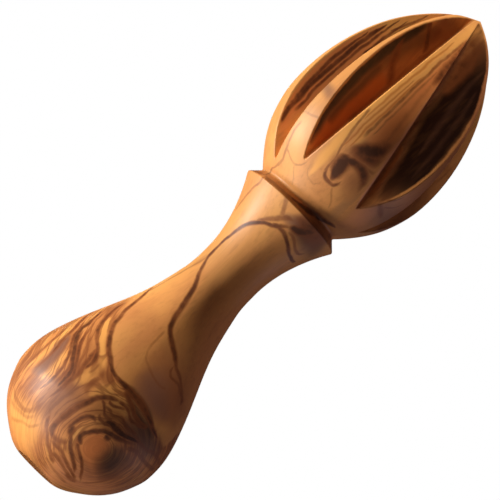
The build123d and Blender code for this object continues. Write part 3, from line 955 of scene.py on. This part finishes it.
    def stroke(self, stroke: Stroke) -> Wire:
        """Mask of one stroke.

        Args:
            stroke: Its course, width and strength.

        Returns:
            Its strength in its middle, fading to 0 at its edges and ends.
        """
        board = self.board
        course = sorted(self._row(stroke, *place) for place in stroke.places)
        length, halves = 0.0, []
        for index, (along, off, half, unit, off_unit) in enumerate(course):
            before, after = course[max(index - 1, 0)], course[min(index + 1, len(course) - 1)]
            gone = (after[0] - before[0]) * unit
            stretch = math.hypot(1.0, (after[1] - before[1]) * off_unit / gone)
            halves.append(half * stretch / off_unit)
            length += gone * stretch / 2.0
        start, end = course[0][0], course[-1][0]
        widths, least, most = self.TAPER
        taper = (end - start) * max(least, min(most, stroke.width * widths / length))
        full = stroke.strength
        curves = (
            [(row[0], row[1]) for row in course],
            [(row[0], half) for row, half in zip(course, halves)],
            [(start, 0.0), (start + taper, full), (end - taper, full), (end, 0.0)],
        )
        along, off = self.ways[stroke.run]
        read = board.node("ShaderNodeRGBCurve", {"curves": curves}, {"Color": along})
        parts = board.node("ShaderNodeSeparateColor", None, {0: read})
        reach = abs(off - parts) / parts.pick("Green")
        return board.step(reach, 1.0 + stroke.soft, 1.0 - stroke.soft) * parts.pick("Blue")

    def layer(self, chosen: Tone) -> Wire:
        """Mask of every stroke of one tone.

        Args:
            chosen: The tone.

        Returns:
            How strongly it shows; a vein's strength varies, and is a little over 1 in places.
        """
        board = self.board
        groups: dict[tuple[Zone, bool], list[Stroke]] = {}
        for stroke in ALL_STROKES:
            if stroke.tone is chosen:
                groups.setdefault((stroke.zone, stroke.behind), []).append(stroke)
        total: Term = 0.0
        for (zone, behind), strokes in groups.items():
            mask: Term = 0.0
            for stroke in strokes:
                mask = board.highest(mask, self.stroke(stroke))
            mask = mask * (1.0 - self.front if behind else self.front)
            if zone is not Zone.ANY:
                mask = mask * (self.carved if zone is Zone.CARVED else 1.0 - self.carved)
            total = board.highest(total, mask)
        return total * self.uneven * self.VEIN_AND_SHADE_GAIN if chosen is VEIN_AND_SHADE else total

    def shells(self) -> Wire:
        """Shells round the knot in the bulb.

        Returns:
            Distance from the knot, drawn out to the upper left as the figure is.
        """
        board = self.board
        east, south, up = self.x - self.KNOT[0], self.y + self.KNOT[1], self.z - SWIRL_EYE[1]
        opened = board.step(self.x, *self.DRAWN_OUT)
        tall = board.highest(up, 0.0) * opened + board.lowest(up, 0.0)
        reach = board.math("SQRT", east * east + south * south + tall * tall)
        return reach - board.highest(up - self.DRAWN_FROM, 0.0) * (1.0 - opened) * self.DRAWN_SHARE


@dataclass(frozen=True)
class Grain:
    """Noise drawn out along the wood: its scale, and how much slower it changes along the axis."""

    scale: float
    slowing: float
    rough: float = 0.5

    def lay(self, board: NodeBoard, place: Wire) -> Wire:
        """The noise, from 0 to 1."""
        return board.noise(place * (1.0, 1.0, self.slowing), self.scale, rough=self.rough)


@dataclass(frozen=True)
class FiguredBulb:
    """The part of the bulb's wood that is banded round its knot.

    Attributes:
        strength: How strongly its ground tone shows.
        arc: Heights over which it begins below the smooth arc in front.
        arc_turn, arc_fall: How far right of the axis that edge starts to fall, and how steeply.
        side, side_rise: How far in front of the axis it starts to rise again, and how steeply.
        slant: Bearings over which it begins on the left, at the height slant_middle.
        slant_turn: How many degrees they turn for each millimetre up.
        left_top, rear_top: Heights over which it begins on the left and behind.
        rear: How far behind the axis the rear part begins.
        foot, foot_left: Where it is plainer again, low down on the left, by foot_plain.
        band: How fast the bands change from shell to shell, and within a shell.
        pale, brown: Levels of the noise that turn to pale and to brown bands.
        fine, fine_scale, fine_rough: The same change within a shell, scale and roughness, of the
            fine lines.
        line: How far from its middle level the noise of a line is.
    """

    strength: float = 0.85
    arc: Span = (28.3, 26.9)
    arc_turn: float = 8.0
    arc_fall: float = 0.3
    side: float = 10.0
    side_rise: float = 2.0
    slant: Span = (-15.0, -21.0)
    slant_middle: float = 30.0
    slant_turn: float = 3.3
    left_top: Span = (48.0, 38.0)
    rear: Span = (2.0, 8.0)
    rear_top: Span = (42.0, 34.0)
    foot: Span = (11.0, 4.0)
    foot_left: Span = (0.0, -6.0)
    foot_plain: float = 0.75
    band: tuple[float, float] = (0.36, 0.05)
    pale: Span = (0.48, 0.34)
    pale_strength: float = 0.75
    brown: Span = (0.52, 0.64)
    brown_strength: float = 0.55
    fine: float = 0.09
    fine_scale: float = 0.85
    fine_rough: float = 0.55
    line: Span = (0.1, 0.0)

    def reach(self, figure: OliveFigure, drift: Wire) -> Wire:
        """Where the wood is figured.

        Args:
            figure: The coordinates of the wood.
            drift: Slow noise that makes an edge wander.

        Returns:
            A mask from 0 to 1.
        """
        board = figure.board
        sunk = figure.z + board.highest(figure.x - self.arc_turn, 0.0) * self.arc_fall
        sunk = sunk - board.highest(figure.y + self.side, 0.0) * drift * self.side_rise
        below = board.step(sunk, *self.arc)
        slant = figure.bearing + (figure.z - self.slant_middle) * self.slant_turn
        left = board.step(slant, *self.slant) * board.step(figure.z, *self.left_top) * figure.front
        behind = board.step(figure.y, *self.rear) * board.step(figure.z, *self.rear_top)
        return board.highest(board.highest(below, left), behind)

    def lay(
        self, figure: OliveFigure, drift: Wire, tones: OliveTones, colour: Wire
    ) -> tuple[Wire, Wire]:
        """Lay the bands over plain wood.

        Args:
            figure: The coordinates of the wood.
            drift: Slow noise that makes an edge wander.
            tones: The colours.
            colour: The plain wood.

        Returns:
            The new colour, and a mask of fine lines that are laid later.
        """
        board, x, z = figure.board, figure.x, figure.z
        figured = self.reach(figure, drift)
        colour = board.mix(figured * self.strength, colour, tones.figured)
        smooth = board.step(z, *self.foot) * board.step(x, *self.foot_left)
        figured = figured * (1.0 - smooth * self.foot_plain)
        shells = figure.shells()
        across, within = self.band
        bands = board.noise(board.vector(shells * across, z * within, x * within), 1.0, detail=1.0)
        pale = board.step(bands, *self.pale) * figured * self.pale_strength
        colour = board.mix(pale, colour, tones.honey)
        brown = board.step(bands, *self.brown) * figured * self.brown_strength
        colour = board.mix(brown, colour, tones.brown)
        place = board.vector(shells, z * self.fine, x * self.fine)
        fine = board.noise(place, self.fine_scale, rough=self.fine_rough)
        return colour, board.step(abs(fine - MIDDLE), *self.line) * figured


@dataclass(frozen=True)
class Fibres:
    """Fibres and pores along the wood, plainer on the turned skin than in the flutes.

    Attributes:
        fibre, streak: The noise of fine fibres and of broad streaks.
        streaks, pores, glints: Levels of it that turn to brown streaks, brown pores and tan fibres.
        streak_strength, pore_strength: What a flute adds to them, and their strength elsewhere.
        glint_strength: The same of the tan fibres, which are in the flutes alone.
        heart: How deep under the turned skin the dark heartwood begins in a flute.
        heart_rear, heart_right: How far back and how far to the right it begins.
        heart_strength: What a streak adds to it, and its strength between them.
    """

    fibre: Grain = Grain(scale=1.1, slowing=0.04, rough=0.6)
    streak: Grain = Grain(scale=0.62, slowing=0.025, rough=0.55)
    streaks: Span = (0.46, 0.66)
    streak_strength: tuple[float, float] = (0.25, 0.1)
    pores: Span = (0.5, 0.75)
    pore_strength: tuple[float, float] = (0.3, 0.16)
    heart: Span = (1.5, 5.0)
    heart_rear: Span = (-4.0, 2.0)
    heart_right: Span = (2.0, 6.0)
    heart_strength: tuple[float, float] = (0.5, 0.4)
    glints: Span = (0.48, 0.66)
    glint_strength: float = 0.03

    def lay(self, figure: OliveFigure, fibres: Wire, tones: OliveTones, colour: Wire) -> Wire:
        """Lay the streaks, the pores and the heartwood.

        Args:
            figure: The coordinates of the wood.
            fibres: The noise of fine fibres.
            tones: The colours.
            colour: The wood so far.

        Returns:
            The new colour.
        """
        board, deep = figure.board, figure.carved
        streaked = board.step(self.streak.lay(board, figure.bent), *self.streaks)
        more, least = self.streak_strength
        colour = board.mix(streaked * (deep * more + least), colour, tones.brown)
        more, least = self.pore_strength
        pored = board.step(fibres, *self.pores) * (deep * more + least)
        colour = board.mix(pored, colour, tones.brown)
        aside = board.highest(
            board.step(figure.y, *self.heart_rear), board.step(figure.x, *self.heart_right)
        )
        heart = deep * board.step(figure.depth, *self.heart) * aside
        more, least = self.heart_strength
        return board.mix(heart * (streaked * more + least), colour, tones.dark)

    def glint(self, figure: OliveFigure, fibres: Wire, tones: OliveTones, colour: Wire) -> Wire:
        """Lay the fine tan fibres in the flutes.

        Args:
            figure: The coordinates of the wood.
            fibres: The noise of fine fibres.
            tones: The colours.
            colour: The wood so far.

        Returns:
            The new colour.
        """
        board = figure.board
        share = board.step(fibres, *self.glints) * figure.carved * self.glint_strength
        return board.mix(share, colour, tones.tan)


@dataclass(frozen=True)
class VeinsAndShade:
    """Dark veins, painted shade along a flute's root and the head's right outline, and a ring of
    painted shade in the groove above the collar.
    """

    groove: float = 88.95
    groove_edge: Span = (0.75, 0.25)
    groove_shade_strength: float = 0.45
    brown: Span = (0.0, 0.85)
    brown_strength: float = 0.9
    dark: Span = (0.6, 1.1)
    dark_strength: float = 0.85

    def lay(self, figure: OliveFigure, tones: OliveTones, colour: Wire) -> Wire:
        """Lay them over the rest.

        Args:
            figure: The coordinates of the wood.
            tones: The colours.
            colour: The wood so far.

        Returns:
            The new colour.
        """
        board = figure.board
        veins_and_shade = figure.layer(VEIN_AND_SHADE)
        # Painted shade: a darker ring round the groove above the collar.
        groove_shade = board.step(abs(figure.z - self.groove), *self.groove_edge) * self.groove_shade_strength
        veins_and_shade = board.highest(veins_and_shade, groove_shade)
        brown = board.step(veins_and_shade, *self.brown) * self.brown_strength
        colour = board.mix(brown, colour, tones.brown)
        return board.mix(board.step(veins_and_shade, *self.dark) * self.dark_strength, colour, tones.dark)


@dataclass(frozen=True)
class OliveWood:
    """Finish of the reamer: oiled olive wood."""

    name: str = "olive_wood"
    tones: OliveTones = OliveTones()
    drift: Grain = Grain(scale=0.09, slowing=0.3)
    drift_edge: Span = (0.3, 0.7)
    bulb: FiguredBulb = FiguredBulb()
    fibres: Fibres = Fibres()
    veins_and_shade: VeinsAndShade = VeinsAndShade()
    line_strength: float = 0.7
    grain_strength: float = 0.05
    grain_depth: float = 0.0003
    roughness: float = 0.5
    coat: float = 0.05
    coat_roughness: float = 0.3

    def material(self, skin: TurnedSkin) -> bpy.types.Material:
        """Build the material.

        Args:
            skin: The outline of the turned blank.

        Returns:
            The material, procedural throughout.
        """
        material = bpy.data.materials.new(self.name)
        material.use_nodes = True
        board = NodeBoard(material.node_tree)
        figure = OliveFigure(board, skin)
        tones = self.tones

        drift = self.drift.lay(board, figure.place)
        colour = board.mix(board.step(drift, *self.drift_edge), tones.tan, tones.honey)
        colour, lines = self.bulb.lay(figure, drift, tones, colour)
        fibres = self.fibres.fibre.lay(board, figure.place)
        colour = self.fibres.lay(figure, fibres, tones, colour)
        for chosen, paint in tones.strokes.items():
            colour = board.mix(figure.layer(chosen), colour, paint)
            if chosen is PALE:
                colour = board.mix(lines * self.line_strength, colour, tones.brown)
        colour = self.fibres.glint(figure, fibres, tones, colour)
        colour = self.veins_and_shade.lay(figure, tones, colour)

        grain = board.node("ShaderNodeBump", None, {
            "Strength": self.grain_strength, "Distance": self.grain_depth, "Height": fibres,
        })
        surface = board.node("ShaderNodeBsdfPrincipled", None, {
            "Base Color": colour,
            "Roughness": self.roughness,
            "Coat Weight": self.coat,
            "Coat Roughness": self.coat_roughness,
            "Normal": grain,
        })
        board.node("ShaderNodeOutputMaterial", None, {"Surface": surface})
        return material


@dataclass(frozen=True)
class Reamer:
    """The one-piece tool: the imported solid, dressed in its wood."""

    solid: bpy.types.Object
    wood: OliveWood = OliveWood()

    def dress(self) -> None:
        """Put the wood on the solid."""
        material = self.wood.material(TurnedSkin.from_node(self.solid))
        for slot in self.solid.material_slots:
            slot.material = material
        nodes = len(material.node_tree.nodes)
        LOG.info("%s: %s, %d nodes", self.solid.name, self.wood.name, nodes)


# ----------------------------------------
# Floor, light and camera
# ----------------------------------------


@dataclass(frozen=True)
class PaleFloor:
    """A white table top that the tool stands on, open from below and fading out far away.

    Attributes:
        radius, clear_radius: Where it ends, and where it starts to fade.
        corners: Corners of its outline.
        shade, bounce: Its lightness as the camera sees it, and as its light on the tool.
        glow: How much of what the camera sees of it is even light.
    """

    radius: float = 0.9
    clear_radius: float = 0.35
    corners: int = 96
    shade: float = 0.9
    bounce: float = 0.12
    glow: float = 0.8

    def build(self) -> bpy.types.Object:
        """Make the disc and its material.

        Returns:
            The disc.
        """
        shape = bmesh.new()
        bmesh.ops.create_circle(shape, cap_ends=True, segments=self.corners, radius=self.radius)
        mesh = bpy.data.meshes.new("floor")
        shape.to_mesh(mesh)
        shape.free()
        floor = bpy.data.objects.new("floor", mesh)
        bpy.context.scene.collection.objects.link(floor)
        floor.visible_shadow = False
        floor.data.materials.append(self._material())
        return floor

    def _material(self) -> bpy.types.Material:
        """Make its finish.

        Returns:
            White that the camera sees nearly evenly lit, and nothing seen from below.
        """
        material = bpy.data.materials.new("pale_floor")
        material.use_nodes = True
        board = NodeBoard(material.node_tree)
        seen = board.node("ShaderNodeLightPath", output="Is Camera Ray")
        shade = board.mix(seen, (self.bounce,) * 3, (self.shade,) * 3)
        matt = board.node("ShaderNodeBsdfDiffuse", None, {"Color": shade})
        light = board.node("ShaderNodeEmission", None, {"Color": WHITE})
        lit = board.node("ShaderNodeMixShader", None, {0: seen * self.glow, 1: matt, 2: light})
        place = board.node("ShaderNodeTexCoord", output="Object")
        reach = board.node("ShaderNodeVectorMath", {"operation": "LENGTH"}, {0: place}, "Value")
        under = board.node("ShaderNodeNewGeometry", output="Backfacing")
        gone = board.highest(board.step(reach, self.clear_radius, self.radius), under)
        clear = board.node("ShaderNodeBsdfTransparent")
        surface = board.node("ShaderNodeMixShader", None, {0: gone, 1: lit, 2: clear})
        board.node("ShaderNodeOutputMaterial", None, {"Surface": surface})
        return material


@dataclass(frozen=True)
class SoftLamp:
    """A round soft box that points at the middle of the tool.

    Attributes:
        towards: Where it hangs, as seen from the tool.
        size: Its width in metres.
        strength: How bright the tool's own colour shows where it faces the lamp.
        tall: Its height as a share of its width.
        distance: How far from the tool it hangs, in metres.
        glossy: Whether it shows in reflections.
    """

    name: str
    towards: Place
    size: float
    strength: float
    colour: Colour = WHITE
    tall: float = 1.0
    distance: float = 0.9
    glossy: bool = True

    def build(self, aim: Vector) -> bpy.types.Object:
        """Hang the lamp.

        Args:
            aim: The point that it faces.

        Returns:
            The lamp.
        """
        data = bpy.data.lights.new(self.name, "AREA")
        data.shape = "ELLIPSE"
        data.size = self.size
        data.size_y = self.size * self.tall
        data.color = self.colour
        # At strength 1, a surface that faces the lamp shows its own colour.
        data.energy = self.strength * (math.pi * self.distance) ** 2
        lamp = bpy.data.objects.new(self.name, data)
        bpy.context.scene.collection.objects.link(lamp)
        lamp.visible_glossy = self.glossy
        direction = Vector(self.towards).normalized()
        lamp.location = aim + direction * self.distance
        lamp.rotation_mode = "QUATERNION"
        lamp.rotation_quaternion = direction.to_track_quat("Z", "Y")
        return lamp


@dataclass(frozen=True)
class Studio:
    """Floor, lamps and surroundings."""

    floor: PaleFloor = PaleFloor()
    lamps: tuple[SoftLamp, ...] = (
        SoftLamp("window", (-0.895, -0.16, -0.415), 0.22, 1.15, (1.0, 0.97, 0.93), tall=1.3),
        SoftLamp("low_window", (-0.4, -0.17, -0.9), 0.3, 0.42, (1.0, 0.95, 0.88)),
        SoftLamp("overhead", (-0.26, -0.06, 0.96), 0.15, 0.95, (1.0, 0.94, 0.86), glossy=False),
        SoftLamp("side_bounce", (0.97, 0.1, -0.2), 0.5, 0.1, (1.0, 0.74, 0.86)),
        SoftLamp("back_window", (-0.25, 0.95, 0.2), 0.4, 0.6, glossy=False),
    )
    ambient: float = 0.055
    ambient_colour: Colour = (1.0, 0.69, 0.66)

    def build(self, aim: Vector) -> None:
        """Set up everything round the tool.

        Args:
            aim: The point that the lamps face.
        """
        self.floor.build()
        for lamp in self.lamps:
            lamp.build(aim)
        world = bpy.data.worlds.new("studio")
        world.use_nodes = True
        board = NodeBoard(world.node_tree)
        seen = board.node("ShaderNodeLightPath", output="Is Camera Ray")
        soft = board.node(
            "ShaderNodeBackground", None, {"Color": self.ambient_colour, "Strength": self.ambient}
        )
        white = board.node("ShaderNodeBackground", None, {"Color": WHITE, "Strength": 1.0})
        both = board.node("ShaderNodeMixShader", None, {0: seen, 1: soft, 2: white})
        board.node("ShaderNodeOutputWorld", None, {"Surface": both})
        bpy.context.scene.world = world
        LOG.info("studio: %d lamps", len(self.lamps))


@dataclass(frozen=True)
class Viewpoint:
    """The photograph's camera: a long lens, tilted so that the tool lies across the picture.

    Attributes:
        rise: Degrees above the level of its aim.
        roll: Degrees that it is tilted.
        distance, picture_width: Metres to its aim, and what the picture takes in there.
        aim: What is in the middle of the picture.
        sensor: Width of its film in millimetres.
    """

    rise: float = -7.0
    roll: float = 45.0
    distance: float = 1.6
    picture_width: float = 0.12209
    aim: Place = (-0.00038, 0.0, 0.0747)
    sensor: float = 36.0

    def build(self) -> bpy.types.Object:
        """Make the camera and give it to the scene.

        Returns:
            The camera.
        """
        data = bpy.data.cameras.new("camera")
        data.sensor_width = self.sensor
        data.lens = self.sensor * self.distance / self.picture_width
        camera = bpy.data.objects.new("camera", data)
        bpy.context.scene.collection.objects.link(camera)
        rise = math.radians(self.rise)
        back = Vector((0.0, -math.cos(rise), math.sin(rise)))
        up = Vector((0.0, math.sin(rise), math.cos(rise)))
        right = up.cross(back)
        roll = math.radians(self.roll)
        turned_up = up * math.cos(roll) - right * math.sin(roll)
        turned_right = right * math.cos(roll) + up * math.sin(roll)
        turn = Matrix((turned_right, turned_up, back)).transposed().to_4x4()
        camera.matrix_world = Matrix.Translation(Vector(self.aim) + back * self.distance) @ turn
        bpy.context.scene.camera = camera
        bpy.context.scene.view_settings.view_transform = "Standard"
        LOG.info("camera: %.0f mm lens", data.lens)
        return camera


def main() -> None:
    """Load the frame, dress the tool and build the studio round it."""
    logging.basicConfig(level=logging.INFO, format="%(name)s: %(message)s")
    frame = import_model()
    viewpoint = Viewpoint()
    viewpoint.build()
    Reamer(frame["nodes"]["reamer"]).dress()
    Studio().build(Vector(viewpoint.aim))


if __name__ == "__main__":
    main()
